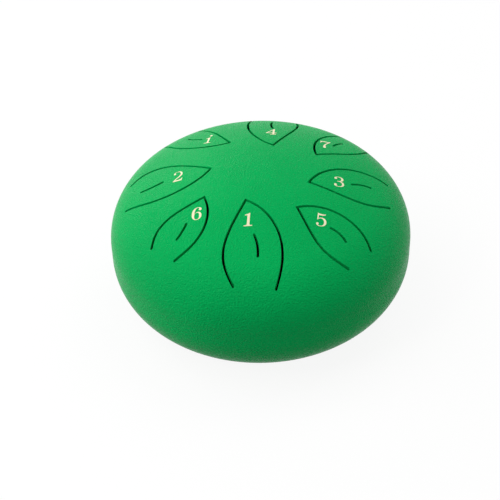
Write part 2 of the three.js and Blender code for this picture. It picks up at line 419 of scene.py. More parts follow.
def add_hole_wall(mesh, outer, inner, hole):
    """Rounds a hole's painted edge over and runs its wall down to the inner face. The
    outlines run the way round that turns the wall's faces towards the hole."""
    downward = -1 if outer.place(0)[3] > 0 else 1
    outlines = [outline[::downward] for outline in lip_outlines(hole)]
    wide, true = outlines[0], outlines[-1]
    rows = []
    normals = []
    for outline, turn in zip(outlines, lip_turns()):
        drop = hole.lip * (1 - math.cos(turn))
        row = []
        row_normals = []
        for (x, y), near, far in zip(outline, true, wide):
            (_, _, z), normal = on_face(outer, x, y)
            into = Vector((near[0] - far[0], near[1] - far[1], 0)).normalized()
            row.append((x, y, z + downward * drop))
            row_normals.append(Vector(normal) * math.cos(turn) + into * math.sin(turn))
        rows.append(row)
        normals.append(row_normals)
    mesh.strip(rows, normals, OUTSIDE)
    top = rows[-1]
    bottom = [on_face(inner, x, y)[0] for x, y in true]
    painted = [tuple(Vector(a).lerp(Vector(b), hole.painted)) for a, b in zip(top, bottom)]
    mesh.strip([top, painted], [normals[-1]] * 2, OUTSIDE)
    # Below the coat the wall takes the shell's second material, a near-black painted shade.
    mesh.strip([painted, bottom], [normals[-1]] * 2, LOWER_WALL)


def add_rim(mesh, outer, inner):
    """The flat edge that a shell turns to the weld."""
    rows = [
        [put_back(outer, u, v)[0] for u, v in rim_ring(outer.length)],
        [put_back(inner, u, v)[0] for u, v in rim_ring(inner.length)],
    ]
    up = 1 if outer.place(0)[3] < 0 else -1
    normals = [[(0, 0, up)] * RIM_POINTS] * 2
    if up < 0:
        rows.reverse()
    mesh.strip(rows, normals, OUTSIDE)


def shell(name, outer, inner, holes, materials):
    """A pressed sheet with holes. Its three materials are for the painted outside, the lower part
    of the holes' walls, which is near-black painted shade, and the inside."""
    mesh = Mesh()
    add_face(mesh, outer, [lip_outlines(hole)[0] for hole in holes], OUTSIDE)
    add_face(mesh, inner, [hole.outline(0) for hole in holes], INSIDE)
    for hole in holes:
        add_hole_wall(mesh, outer, inner, hole)
    add_rim(mesh, outer, inner)
    return mesh.build(name, materials)


# Cuts


def leaf_point(tongue, along, across):
    """The plan position at a distance inwards from a tongue's root and across its middle."""
    radius = DRUM_RADIUS - tongue.rim_to_root - along
    angle = math.radians(tongue.bearing)
    return Vector((
        radius * math.cos(angle) - across * math.sin(angle),
        radius * math.sin(angle) + across * math.cos(angle),
    ))


def bezier(points, steps):
    """Points of a Bezier curve of any degree, both ends included."""
    line = []
    for i in range(steps + 1):
        t = i / steps
        level = list(points)
        while len(level) > 1:
            level = [a.lerp(b, t) for a, b in zip(level, level[1:])]
        line.append(level[0])
    return line


def leaf_side(tongue, side, root_offset):
    bends = [[along * tongue.length, across * tongue.width] for along, across in side]
    bends[0][0] += root_offset
    bends.append([tongue.length, -tongue.tip_aside])
    return bezier([leaf_point(tongue, *bend) for bend in bends], LEAF_STEPS)


def kerf_line(tongue):
    """The cut that frees a tongue: up one side, round the point and down the other."""
    up = leaf_side(tongue, STRAIGHT_SIDE, tongue.root_skew)
    down = leaf_side(tongue, ROUND_SIDE, -tongue.root_skew)
    return up + down[::-1][1:]


def slit_line(tongue):
    slit = tongue.slit
    near = tongue.length - slit.from_tip
    bends = [
        (near, slit.aside - slit.skew / 2),
        (near - slit.length / 2, slit.aside + slit.bow),
        (near - slit.length, slit.aside + slit.skew / 2),
    ]
    return bezier([leaf_point(tongue, *bend) for bend in bends], SLIT_STEPS)


def left_of(a, b):
    return Vector((a.y - b.y, b.x - a.x)).normalized()


def round_end(centre, start):
    """The half circle that closes a cut, clockwise from one edge to the other."""
    spoke = start - centre
    steps = [-math.pi * i / (2 * CAP_STEPS) for i in range(1, 2 * CAP_STEPS)]
    return [centre + Matrix.Rotation(step, 2) @ spoke for step in steps]


def cut_outline(line, width):
    """The outline of a cut of even width, with mitred corners and round ends."""
    last = len(line) - 1
    left = []
    right = []
    for i, point in enumerate(line):
        before = left_of(line[max(i - 1, 0)], line[max(i, 1)])
        after = left_of(line[min(i, last - 1)], line[min(i + 1, last)])
        mitre = (before + after).normalized()
        reach = width / 2 / mitre.dot(before)
        left.append(point + mitre * reach)
        right.append(point - mitre * reach)
    outline = left + round_end(line[-1], left[-1]) + right[::-1] + round_end(line[0], right[0])
    return [tuple(p) for p in outline]


def cut(line, width):
    return Hole(lambda wider: cut_outline(line, width + 2 * wider), CUT_LIP, KERF_PAINTED)


def round_hole(x, y, radius, sides, lip):
    def outline(wider):
        reach = radius + wider
        return [(x + reach * math.cos(-t), y + reach * math.sin(-t)) for t in turns(sides)]

    return Hole(outline, lip, PORT_PAINTED)


# Turned pieces, which stand round a vertical axis

TURNED_SIDES = 64
FILLET_STEPS = 4


def ring(radius, height, middle=(0, 0), sides=TURNED_SIDES):
    x, y = middle
    return [(x + radius * math.cos(t), y + radius * math.sin(t), height) for t in turns(sides)]


def filleted(corners):
    """A closed profile of (radius, height), from corners that add the radius of their
    rounding. It runs anticlockwise, outwards along the bottom first."""
    profile = []
    for i, (radius, height, fillet) in enumerate(corners):
        corner = Vector((radius, height))
        before = (Vector(corners[i - 1][:2]) - corner).normalized()
        after = (Vector(corners[(i + 1) % len(corners)][:2]) - corner).normalized()
        half = before.angle(after) / 2
        centre = corner + (before + after).normalized() * fillet / math.sin(half)
        start = corner + before * fillet / math.tan(half) - centre
        end = corner + after * fillet / math.tan(half) - centre
        steps = FILLET_STEPS if fillet else 0
        profile.append(tuple(centre + start))
        for k in range(1, steps + 1):
            profile.append(tuple(centre + start.lerp(end, k / steps).normalized() * fillet))
    return profile


def revolve(name, corners, middle, materials):
    """A ring-shaped piece with rounded corners."""
    rows = [ring(radius, height, middle) for radius, height in filleted(corners)]
    mesh = Mesh()
    mesh.strip([*rows, rows[0]])
    return mesh.build(name, materials)


FOOT_FILLET = 0.25
FOOT_EDGE_RADIUS = 1.0
FOOT_TAPER = 0.5
RECESS_CLEARANCE = 0.3
WASHER_BORE = 2.15
WASHER_FILLET = 0.15


def make_foot(number):
    """A tapered rubber foot, recessed from below for the washer and the screw's head."""
    low, high = node_box(f"rubber_foot_{number}")
    washer_low, washer_high = node_box(f"foot_insert_washer_{number}")
    top = (high.x - low.x) / 2
    recess = (washer_high.x - washer_low.x) / 2 + RECESS_CLEARANCE
    corners = [
        (recess, low.z, FOOT_FILLET),
        (top - FOOT_TAPER, low.z, FOOT_EDGE_RADIUS),
        (top, high.z, FOOT_FILLET),
        (FOOT_HOLE_RADIUS, high.z, 0),
        (FOOT_HOLE_RADIUS, washer_high.z, 0),
        (recess, washer_high.z, FOOT_FILLET),
    ]
    return revolve(f"foot_{number}_rubber", corners, node_middle(f"rubber_foot_{number}"), [RUBBER])


def make_washer(name, node):
    """A plain washer with its edges tumbled smooth."""
    low, high = node_box(node)
    outer = (high.x - low.x) / 2
    corners = [
        (WASHER_BORE, low.z, WASHER_FILLET),
        (outer, low.z, WASHER_FILLET),
        (outer, high.z, WASHER_FILLET),
        (WASHER_BORE, high.z, WASHER_FILLET),
    ]
    return revolve(name, corners, node_middle(node), [ZINC])


# Nuts and screws

ACROSS_FLATS = 7.0
FACE_CHAMFER = 0.15
CHAMFER_SLOPE = math.tan(math.radians(30))
BORE_CHAMFER = 0.35
NUT_BORE = 2.03
NUT_SIDES = 72


def make_nut(number):
    """A hexagon nut whose corners and bore are chamfered at both faces."""
    node = f"foot_nut_{number}"
    low, high = node_box(node)
    middle = node_middle(node)
    face = ACROSS_FLATS / 2 - FACE_CHAMFER
    flat_turn = math.pi / 3
    hexagon = [ACROSS_FLATS / 2 / math.cos(t % flat_turn - flat_turn / 2) for t in turns(NUT_SIDES)]

    def side(height, toward):
        points = []
        for radius, t in zip(hexagon, turns(NUT_SIDES)):
            drop = (radius - face) * CHAMFER_SLOPE
            x = middle[0] + radius * math.cos(t)
            y = middle[1] + radius * math.sin(t)
            points.append((x, y, height + toward * drop))
        return points

    def turned(radius, height):
        return ring(radius, height, middle, NUT_SIDES)

    rows = [
        turned(NUT_BORE + BORE_CHAMFER, low.z),
        turned(face, low.z),
        side(low.z, 1),
        side(high.z, -1),
        turned(face, high.z),
        turned(NUT_BORE + BORE_CHAMFER, high.z),
        turned(NUT_BORE, high.z - BORE_CHAMFER),
        turned(NUT_BORE, low.z + BORE_CHAMFER),
    ]
    mesh = Mesh()
    mesh.strip([*rows, rows[0]])
    return mesh.build(f"foot_{number}_nut", [ZINC])


HEAD_RADIUS = 4.0
HEAD_EDGE_RADIUS = 1.1
HEAD_FILLET_STEPS = 8
THREAD_RADIUS = 2.0
THREAD_DEPTH = 0.38
THREAD_PITCH = 0.7
THREAD_STEPS = 4
THREAD_SIDES = 32
POINT_CHAMFER = 0.5
RECESS_HALF_WIDTH = 0.5
RECESS_REACH = 2.1
RECESS_DEPTH = 1.5
RECESS_TAPER = 0.45
RECESS_TURN = 0.1


def thread_rows(start, end):
    """Rows of a screw thread that climbs from one height to another. Rows past an end
    are held on it, so that they close up there."""
    shares = [i / THREAD_SIDES for i in range(THREAD_SIDES)]
    rows = []
    for k in range(math.ceil((end - start) / THREAD_PITCH * THREAD_STEPS) + THREAD_STEPS + 1):
        row = []
        for share in shares:
            height = start + THREAD_PITCH * (k / THREAD_STEPS + share - 1)
            height = min(max(height, start), end)
            phase = ((height - start) / THREAD_PITCH - share) % 1
            radius = THREAD_RADIUS - THREAD_DEPTH * abs(2 * phase - 1)
            angle = 2 * math.pi * share
            row.append((radius * math.cos(angle), radius * math.sin(angle), height))
        rows.append(row)
    return rows


def cross_recess(head_bottom):
    """The tapered cross that a screwdriver fits, to be cut from a head's underside."""
    half = RECESS_HALF_WIDTH
    mouth = head_bottom - RECESS_DEPTH
    end = head_bottom + RECESS_DEPTH
    turned = [Matrix.Rotation(RECESS_TURN + math.pi / 2 * i, 2) for i in range(4)]
    rows = []
    for height, reach in ((mouth, RECESS_REACH), (end, RECESS_REACH * RECESS_TAPER)):
        arm = [Vector((reach, -half)), Vector((reach, half)), Vector((half, half))]
        outline = [turn @ point for turn in turned for point in arm]
        rows.append([(x, y, height) for x, y in outline])
    mesh = Mesh()
    mesh.strip(rows)
    mesh.face(rows[0][::-1])
    mesh.face(rows[1])
    return mesh.build("cross_recess", [])


def cut_away(piece, cutter):
    """Cuts one object out of another and removes the cutter."""
    modifier = piece.modifiers.new("cut", "BOOLEAN")
    modifier.operation = "DIFFERENCE"
    modifier.solver = "EXACT"
    modifier.object = cutter
    graph = bpy.context.evaluated_depsgraph_get()
    mesh = bpy.data.meshes.new_from_object(piece.evaluated_get(graph))
    piece.modifiers.clear()
    piece.data = mesh
    mesh.set_sharp_from_angle(angle=CREASE_ANGLE)
    bpy.data.objects.remove(cutter)


def make_first_screw():
    """A pan-head machine screw on the drum's axis, head down, at its height."""
    low, high = node_box("foot_screw_1")
    seat = node_box("foot_insert_washer_1")[0].z
    edge = HEAD_EDGE_RADIUS
    profile = [(0, low.z)]
    for i in range(HEAD_FILLET_STEPS + 1):
        turn = math.pi / 2 * i / HEAD_FILLET_STEPS
        radius = HEAD_RADIUS - edge * (1 - math.sin(turn))
        profile.append((radius, low.z + edge * (1 - math.cos(turn))))
    profile.append((HEAD_RADIUS, seat))
    rows = [ring(radius, height, sides=THREAD_SIDES) for radius, height in profile]
    rows += thread_rows(seat, high.z - POINT_CHAMFER)
    rows.append(ring(THREAD_RADIUS - POINT_CHAMFER, high.z, sides=THREAD_SIDES))
    rows.append(ring(0, high.z, sides=THREAD_SIDES))
    mesh = Mesh()
    mesh.strip(rows)
    screw = mesh.build("foot_1_screw", [ZINC])
    cut_away(screw, cross_recess(low.z))
    return screw


def make_screws():
    """Three screws of one make, each turned by its own number in radians."""
    first = make_first_screw()
    screws = []
    for number in FEET:
        screw = first if number == 1 else first.copy()
        screw.data = first.data.copy()
        screw.name = f"foot_{number}_screw"
        screws.append(screw)
        if number > 1:
            bpy.context.scene.collection.objects.link(screw)
    for number, screw in zip(FEET, screws):
        middle = Vector((*node_middle(f"foot_screw_{number}"), 0)) * MM
        screw.data.transform(Matrix.Translation(middle) @ Matrix.Rotation(number, 4, "Z"))
    return screws


# Materials


def principled(name, base_color, roughness, metallic=0.0):
    material = bpy.data.materials.new(name)
    material.use_nodes = True
    shader = material.node_tree.nodes["Principled BSDF"]
    shader.inputs["Base Color"].default_value = (*base_color, 1)
    shader.inputs["Roughness"].default_value = roughness
    shader.inputs["Metallic"].default_value = metallic
    return material, shader


def noise(material, scale, detail):
    """A noise texture fixed to the drum. Its scale is in waves per metre."""
    nodes = material.node_tree.nodes
    place = nodes.get("Texture Coordinate") or nodes.new("ShaderNodeTexCoord")
    texture = nodes.new("ShaderNodeTexNoise")
    texture.inputs["Scale"].default_value = scale
    texture.inputs["Detail"].default_value = detail
    material.node_tree.links.new(place.outputs["Object"], texture.inputs["Vector"])
    return texture.outputs["Fac"]


def ramp(material, source, stops):
    """Colours a value by two stops, each a position and a colour."""
    node = material.node_tree.nodes.new("ShaderNodeValToRGB")
    for element, (position, color) in zip(node.color_ramp.elements, stops):
        element.position = position
        element.color = (*color, 1)
    material.node_tree.links.new(source, node.inputs["Fac"])
    return node.outputs["Color"]


def spread(material, source, low, high, to_low, to_high):
    """Maps a value from one range to another."""
    node = material.node_tree.nodes.new("ShaderNodeMapRange")
    node.inputs["From Min"].default_value = low
    node.inputs["From Max"].default_value = high
    node.inputs["To Min"].default_value = to_low
    node.inputs["To Max"].default_value = to_high
    material.node_tree.links.new(source, node.inputs["Value"])
    return node.outputs["Result"]


def bump(material, shader, source, distance):
    """Adds relief of a given depth in metres, on top of any that is there."""
    node = material.node_tree.nodes.new("ShaderNodeBump")
    node.inputs["Distance"].default_value = distance
    links = material.node_tree.links
    links.new(source, node.inputs["Height"])
    if shader.inputs["Normal"].links:
        links.new(shader.inputs["Normal"].links[0].from_socket, node.inputs["Normal"])
    links.new(node.outputs["Normal"], shader.inputs["Normal"])


def shade(color, factor):
    return tuple(min(value * factor, 1) for value in color)


def tinted(material, shader, source, stops):
    links = material.node_tree.links
    links.new(ramp(material, source, stops), shader.inputs["Base Color"])


def roughened(material, shader, source, smooth, rough):
    links = material.node_tree.links
    value = spread(material, source, NOISE_LOW, NOISE_HIGH, smooth, rough)
    links.new(value, shader.inputs["Roughness"])


# Most of a noise texture's values lie between these
NOISE_LOW = 0.3
NOISE_HIGH = 0.7

GREEN = (0.001, 0.402, 0.0925)
CLOUD_DEPTH = 0.05
COAT_IOR = 1.085


def green_powder_coat():
    """Powder coat with a fine sand grain and a faint cloudiness. Its low IOR leaves it
    matt from above and gives it a pale sheen where it is seen at a slant."""
    material, shader = principled("green_powder_coat", GREEN, 0.25)
    shader.inputs["IOR"].default_value = COAT_IOR
    grain = noise(material, 1250, detail=1)
    cloud = noise(material, 22, detail=2)
    dark, light = shade(GREEN, 1 - CLOUD_DEPTH), shade(GREEN, 1 + CLOUD_DEPTH)
    tinted(material, shader, cloud, [(NOISE_LOW, dark), (NOISE_HIGH, light)])
    roughened(material, shader, grain, smooth=0.2, rough=0.3)
    bump(material, shader, noise(material, 260, detail=2), distance=0.00008)
    bump(material, shader, grain, distance=0.0006)
    return material


def cut_wall_painted_shade():
    """Painted shade: a near-black green on the lower walls of the cuts, so that they look as dark
    as the shade deep in a narrow cut, mottled at random.
    """
    material, shader = principled("cut_wall_painted_shade", (0.004, 0.02, 0.008), 0.7)
    shader.inputs["Specular IOR Level"].default_value = 0.2
    shade_mottle = noise(material, 900, detail=3)
    tinted(material, shader, shade_mottle, [(0.3, (0.002, 0.008, 0.004)), (0.75, (0.004, 0.035, 0.014))])
    return material


def primer_and_painted_shade():
    """The dull primer inside the shells, made near-black so that it also stands for the shade of
    the cavity seen through the cuts and the port: partly primer, partly painted shade.
    """
    material, shader = principled("primer_and_painted_shade", (0.01, 0.012, 0.011), 0.75)
    shader.inputs["Specular IOR Level"].default_value = 0.25
    cloud = noise(material, 60, detail=4)
    tinted(material, shader, cloud, [(0.35, (0.007, 0.009, 0.008)), (0.7, (0.016, 0.019, 0.017))])
    bump(material, shader, noise(material, 900, detail=2), distance=0.00003)
    return material


def black_rubber():
    material, shader = principled("black_rubber", (0.02, 0.02, 0.021), 0.8)
    dust = noise(material, 150, detail=4)
    tinted(material, shader, dust, [(0.35, (0.014, 0.014, 0.015)), (0.75, (0.035, 0.035, 0.036))])
    bump(material, shader, noise(material, 1200, detail=3), distance=0.00004)
    return material


def zinc_steel():
    material, shader = principled("zinc_steel", (0.56, 0.57, 0.58), 0.32, metallic=1.0)
    cloud = noise(material, 300, detail=3)
    tinted(material, shader, cloud, [(0.35, (0.5, 0.51, 0.53)), (0.7, (0.62, 0.62, 0.61))])
    roughened(material, shader, noise(material, 900, detail=2), smooth=0.26, rough=0.4)
    return material


def cream_vinyl():
    material, shader = principled("cream_vinyl", (0.84, 0.76, 0.51), 0.45)
    cloud = noise(material, 400, detail=2)
    light, dark = (0.87, 0.79, 0.54), (0.81, 0.73, 0.48)
    tinted(material, shader, cloud, [(NOISE_LOW, dark), (NOISE_HIGH, light)])
    bump(material, shader, noise(material, 1500, detail=2), distance=0.00001)
    return material


GREEN_COAT = green_powder_coat()
# Near-black painted shade for the lower walls of the cuts.
CUT_WALL_PAINTED_SHADE = cut_wall_painted_shade()
# Primer made near-black, partly as painted shade for the cavity inside.
PRIMER_AND_SHADE = primer_and_painted_shade()
RUBBER = black_rubber()
ZINC = zinc_steel()
VINYL = cream_vinyl()


# Numerals: closed outlines in hundredths of the numeral's height

NUMERAL_UNITS = 100
NUMERAL_STEPS = 6
NUMERAL_THICKNESS = 0.07
DOT_SIDES = 24


def outline_path(start, *moves):
    """A closed outline. A move of two numbers is a line to that point, and one of six is
    a curve to its last point by way of its first two."""
    points = [Vector(start)]
    for move in moves:
        ends = [Vector(move[i:i + 2]) for i in range(0, len(move), 2)]
        steps = NUMERAL_STEPS if len(ends) > 1 else 1
        points.extend(bezier([points[-1], *ends], steps)[1:])
    points.pop()
    return points


def numeral_one():
    return [outline_path(
        (2, 0), (56, 0), (56, 6), (47, 6, 39, 7, 38, 15), (38, 100), (32, 100),
        (26, 93, 16, 90, 6, 89), (6, 83), (14, 83), (19, 83, 22, 81, 22, 76), (22, 15),
        (21, 7, 12, 6, 2, 6), (2, 0),
    )]


def numeral_high_one():
    """A shorter one with the dot of the upper octave above it."""
    body = outline_path(
        (4, 0), (56, 0), (56, 5), (47, 5, 39, 6, 38, 12), (38, 68), (32, 68),
        (26, 63, 17, 61, 8, 60), (8, 55), (15, 55), (20, 55, 23, 53, 23, 49), (23, 12),
        (22, 6, 13, 5, 4, 5), (4, 0),
    )
    dot = [Vector((36 + 11 * math.cos(t), 90 + 9 * math.sin(t))) for t in turns(DOT_SIDES)]
    return [body, dot]


def numeral_two():
    return [outline_path(
        (4, 0), (59, 0), (63, 29), (58, 29), (55, 19, 50, 13, 42, 13), (20, 13),
        (27, 23, 37, 31, 46, 39), (56, 49, 62, 58, 62, 71), (62, 89, 51, 100, 35, 100),
        (18, 100, 7, 90, 7, 79), (7, 73, 10, 70, 15, 70), (20, 70, 23, 73, 23, 77),
        (23, 81, 19, 83, 19, 87), (19, 91, 24, 94, 30, 94), (42, 94, 49, 85, 49, 72),
        (49, 61, 42, 50, 31, 38), (21, 27, 11, 16, 4, 5), (4, 0),
    )]


def numeral_three():
    return [outline_path(
        (6, 82), (6, 92, 17, 100, 33, 100), (49, 100, 60, 91, 60, 77),
        (60, 65, 53, 57, 42, 54), (56, 51, 63, 42, 63, 28), (63, 11, 50, 0, 31, 0),
        (14, 0, 4, 8, 4, 18), (4, 24, 7, 28, 12, 28), (17, 28, 20, 24, 20, 20),
        (20, 16, 17, 14, 17, 11), (17, 8, 22, 5, 30, 5), (43, 5, 50, 15, 50, 28),
        (50, 42, 42, 51, 30, 51), (23, 51), (23, 56), (29, 56), (40, 56, 47, 65, 47, 76),
        (47, 89, 40, 95, 31, 95), (24, 95, 19, 93, 19, 89), (19, 86, 22, 84, 22, 80),
        (22, 76, 19, 73, 15, 73), (10, 73, 6, 77, 6, 82),
    )]


def numeral_four():
    body = outline_path(
        (27, 0), (64, 0), (64, 6), (56, 6, 53, 8, 53, 13), (53, 25), (66, 25), (66, 32),
        (53, 32), (53, 100), (47, 100), (2, 31), (2, 25), (41, 25), (41, 13),
        (41, 8, 38, 6, 27, 6), (27, 0),
    )
    counter = outline_path((41, 32), (10, 32), (41, 79), (41, 32))
    return [body, counter]


def numeral_five():
    return [outline_path(
        (14, 103), (22, 98, 30, 96, 38, 95), (46, 94, 53, 95, 59, 96), (62, 96),
        (60, 86, 51, 82, 36, 83), (30, 83, 24, 85, 20, 86), (17, 60),
        (22, 65, 29, 67, 36, 67), (53, 67, 64, 54, 64, 34), (64, 13, 50, 0, 29, 0),
        (13, 0, 3, 8, 3, 18), (3, 24, 6, 28, 11, 28), (16, 28, 19, 24, 19, 20),
        (19, 16, 15, 14, 15, 11), (15, 8, 21, 5, 28, 5), (41, 5, 49, 16, 49, 33),
        (49, 51, 41, 60, 31, 60), (23, 60, 17, 56, 14, 50), (9, 50), (14, 103),
    )]


def numeral_six():
    body = outline_path(
        (33, 0), (51, 0, 63, 13, 63, 32), (63, 51, 53, 63, 39, 63), (30, 63, 24, 58, 20, 51),
        (21, 76, 28, 94, 39, 94), (44, 94, 46, 93, 46, 90), (46, 87, 43, 85, 43, 80),
        (43, 75, 47, 72, 52, 72), (58, 72, 62, 76, 62, 82), (62, 92, 51, 100, 38, 100),
        (16, 100, 2, 77, 2, 45), (2, 17, 13, 0, 33, 0),
    )
    counter = outline_path(
        (33, 6), (23, 6, 19, 15, 19, 30), (19, 47, 24, 56, 33, 56), (43, 56, 47, 47, 47, 31),
        (47, 15, 43, 6, 33, 6),
    )
    return [body, counter]


def numeral_seven():
    return [outline_path(
        (2, 68), (8, 68), (11, 82, 17, 86, 26, 86), (32, 86, 38, 83, 47, 83),
        (35, 65, 21, 46, 21, 16), (21, 6, 25, 0, 31, 0), (37, 0, 41, 5, 41, 11),
        (41, 18, 37, 23, 37, 33), (37, 53, 51, 71, 64, 91), (64, 100), (59, 100),
        (56, 96, 52, 95, 46, 95), (39, 95, 32, 100, 24, 100), (17, 100, 12, 98, 9, 94),
        (8, 100), (2, 100), (2, 68),
    )]


class Numeral(NamedTuple):
    """Where a numeral lies, its height, how much it is widened and slanted, and how far
    its edges are drawn in."""

    loops: list
    middle: tuple
    height: float
    widening: float
    slant: float
    thinning: float


NUMERALS = {
    "numeral_1": Numeral(numeral_one(), (-5.7, -34.9), 7.8, 0.97, 0.09, 0),
    "numeral_2": Numeral(numeral_two(), (-41.0, 2.9), 8.1, 1.09, 0.02, 0.12),
    "numeral_3": Numeral(numeral_three(), (39.8, -5.1), 7.9, 1.13, 0.04, 0.03),
    "numeral_4": Numeral(numeral_four(), (7.0, 39.8), 8.4, 1.04, 0.08, 0),
    "numeral_5": Numeral(numeral_five(), (29.5, -33.3), 8.0, 1.05, 0, 0.04),
    "numeral_6": Numeral(numeral_six(), (-30.8, -27.5), 7.95, 1.06, 0.07, 0.09),
    "numeral_7": Numeral(numeral_seven(), (34.7, 29.2), 8.8, 1.02, 0.15, 0.13),
    "numeral_high_1": Numeral(numeral_high_one(), (-25.9, 36.4), 10.9, 0.68, 0.12, 0.11),
}


def draped(face, middle, across, up, lift):
    """A point of a flat decal, laid on the dome and raised by lift, with the normal."""
    point, normal = on_face(face, *middle)
    normal = Vector(normal)
    ahead = Vector((0, 1, 0))
    ahead = (ahead - normal * ahead.dot(normal)).normalized()
    right = ahead.cross(normal)
    flat = Vector(point) + right * across + ahead * up
    placed, over = on_face(face, flat.x, flat.y)
    return Vector(placed) + Vector(over) * lift, Vector(over)


def is_in(loop, point):
    return bool(inside(np.array(loop), np.array([point]))[0])


def drawn_in(loop, distance):
    """A closed outline whose edges have all moved to their left."""
    moved = []
    for i, point in enumerate(loop):
        before = left_of(loop[i - 1], point)
        after = left_of(point, loop[(i + 1) % len(loop)])
        mitre = (before + after).normalized()
        moved.append(point + mitre * distance / mitre.dot(before))
    return moved


def sized_loops(numeral):
    """A numeral's outlines in millimetres round its middle. Bodies run anticlockwise and
    counters clockwise, so that the vinyl lies on the left of each."""
    scale = numeral.height / NUMERAL_UNITS
    across = [p.x for p in numeral.loops[0]]
    middle = Vector(((min(across) + max(across)) / 2, NUMERAL_UNITS / 2))
    loops = []
    for loop in numeral.loops:
        flat = [(p - middle) * scale for p in loop]
        placed = [Vector((p.x * numeral.widening + p.y * numeral.slant, p.y)) for p in flat]
        area = sum(a.x * b.y - b.x * a.y for a, b in zip(placed, placed[1:] + placed[:1]))
        is_counter = bool(loops) and is_in(loops[0], placed[0])
        if (area < 0) != is_counter:
            placed.reverse()
        loops.append(drawn_in(placed, numeral.thinning))
    return loops


def make_numeral(name, numeral):
    """A thin vinyl numeral that follows the dome."""
    face = Crown(0)
    loops = sized_loops(numeral)
    points = []
    edges = []
    for loop in loops:
        edges.extend(closed_edges(len(points), len(loop)))
        points.extend(loop)
    made = delaunay_2d_cdt(points, edges, [], 0, NEXT_TO_NOTHING)
    mesh = Mesh()
    for triangle in made[2]:
        corners = [made[0][i] for i in triangle]
        centre = sum(corners, Vector((0, 0))) / 3
        if sum(is_in(loop, centre) for loop in loops) % 2:
            top = [draped(face, numeral.middle, p.x, p.y, NUMERAL_THICKNESS) for p in corners]
            bottom = [draped(face, numeral.middle, p.x, p.y, 0) for p in reversed(corners)]
            mesh.face([p for p, _ in top], [n for _, n in top])
            mesh.face([p for p, _ in bottom], [-n for _, n in bottom])
    for loop in loops:
        low = [draped(face, numeral.middle, p.x, p.y, 0)[0] for p in loop]
        high = [draped(face, numeral.middle, p.x, p.y, NUMERAL_THICKNESS)[0] for p in loop]
        for a in range(len(loop)):
            b = (a + 1) % len(loop)
            side = (low[b] - low[a]).cross(high[a] - low[a])
            mesh.face([low[a], low[b], high[b], high[a]], [side] * 4)
    return mesh.build(name, [VINYL])


# Pieces

FEET = (1, 2, 3)


def make_upper_shell():
    holes = [cut(kerf_line(tongue), KERF_WIDTH) for tongue in TONGUES.values()]
    holes += [cut(slit_line(tongue), SLIT_WIDTH) for tongue in TONGUES.values()]
    return shell("upper_shell_sheet", Crown(0), Crown(SHEET), holes, [GREEN_COAT, CUT_WALL_PAINTED_SHADE, PRIMER_AND_SHADE])


def make_lower_shell():
    holes = [round_hole(0, 0, PORT_RADIUS, PORT_SIDES, PORT_LIP)]
    for number in FEET:
        x, y = node_middle(f"foot_screw_{number}")
        holes.append(round_hole(x, y, FOOT_HOLE_RADIUS, HOLE_SIDES, CUT_LIP))
    # The port's and foot holes' walls below their mouths are near-black painted shade.
    return shell("lower_shell_sheet", Pan(0), Pan(SHEET), holes, [GREEN_COAT, PRIMER_AND_SHADE, PRIMER_AND_SHADE])


def make_weld():
    """The weld ring: flush outside, a low bead inside."""
    height = WELD_TOP - WELD_BOTTOM
    inner = DRUM_RADIUS - SHEET
    profile = [
        (inner, WELD_BOTTOM, (0, -1)),
        (DRUM_RADIUS, WELD_BOTTOM, (0, -1)),
        (DRUM_RADIUS, WELD_BOTTOM, (1, 0)),
        (DRUM_RADIUS, WELD_TOP, (1, 0)),
        (DRUM_RADIUS, WELD_TOP, (0, 1)),
        (inner, WELD_TOP, (0, 1)),
    ]
    bead_steps = 6
    for i in range(bead_steps + 1):
        turn = math.pi * i / bead_steps
        reach = WELD_BEAD * math.sin(turn)
        level = WELD_BOTTOM + height * (1 + math.cos(turn)) / 2
        profile.append((inner - reach, level, (-math.sin(turn), math.cos(turn))))
    rows = [ring(radius, level, sides=RIM_POINTS) for radius, level, _ in profile]
    normals = [ring(out, up, sides=RIM_POINTS) for _, _, (out, up) in profile]
    mesh = Mesh()
    mesh.strip(rows, normals)
    return mesh.build("seam_weld_ring", [GREEN_COAT])


def stand_in(piece, node):
    """Shows a piece in place of a CAD node."""
    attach(piece, "root")
    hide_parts(node)


stand_in(make_upper_shell(), "upper_shell")
stand_in(make_lower_shell(), "lower_shell")
stand_in(make_weld(), "seam_weld")
for foot, screw in zip(FEET, make_screws()):
    insert = make_washer(f"foot_{foot}_insert_washer", f"foot_insert_washer_{foot}")
    inner_washer = make_washer(f"foot_{foot}_inner_washer", f"inner_washer_{foot}")
    stand_in(make_foot(foot), f"rubber_foot_{foot}")
    stand_in(insert, f"foot_insert_washer_{foot}")
    stand_in(screw, f"foot_screw_{foot}")
    stand_in(inner_washer, f"inner_washer_{foot}")
    stand_in(make_nut(foot), f"foot_nut_{foot}")

for name, numeral in NUMERALS.items():
    sign = make_numeral(name, numeral)
    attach(sign, "root")


# Stage, lights and camera

FLOOR_REACH = 3.0
FLOOR_WHITE = 0.9
FLOOR_PALE = 0.95
FLOOR_BOUNCE = 0.35
# Radius in metres where the shadow painted beneath the drum ends, and how far it fades out.
PAINTED_SHADOW_EDGE = 0.03
PAINTED_SHADOW_FADE = 0.02


def sees_background(tree):
    """A value of 1 for camera, glossy and transmission rays, and of 0 for all others."""
    nodes = tree.nodes
    path = nodes.new("ShaderNodeLightPath")
    found = path.outputs["Is Camera Ray"]
    for ray in ("Is Glossy Ray", "Is Transmission Ray"):
        either = nodes.new("ShaderNodeMath")
        either.operation = "MAXIMUM"
        tree.links.new(found, either.inputs[0])
        tree.links.new(path.outputs[ray], either.inputs[1])
        found = either.outputs[0]
    return found


def product(tree, first, second):
    """A socket's value, multiplied by a number or by another socket's value."""
    node = tree.nodes.new("ShaderNodeMath")
    node.operation = "MULTIPLY"
    tree.links.new(first, node.inputs[0])
    if isinstance(second, float):
        node.inputs[1].default_value = second
    else:
        tree.links.new(second, node.inputs[1])
    return node.outputs[0]


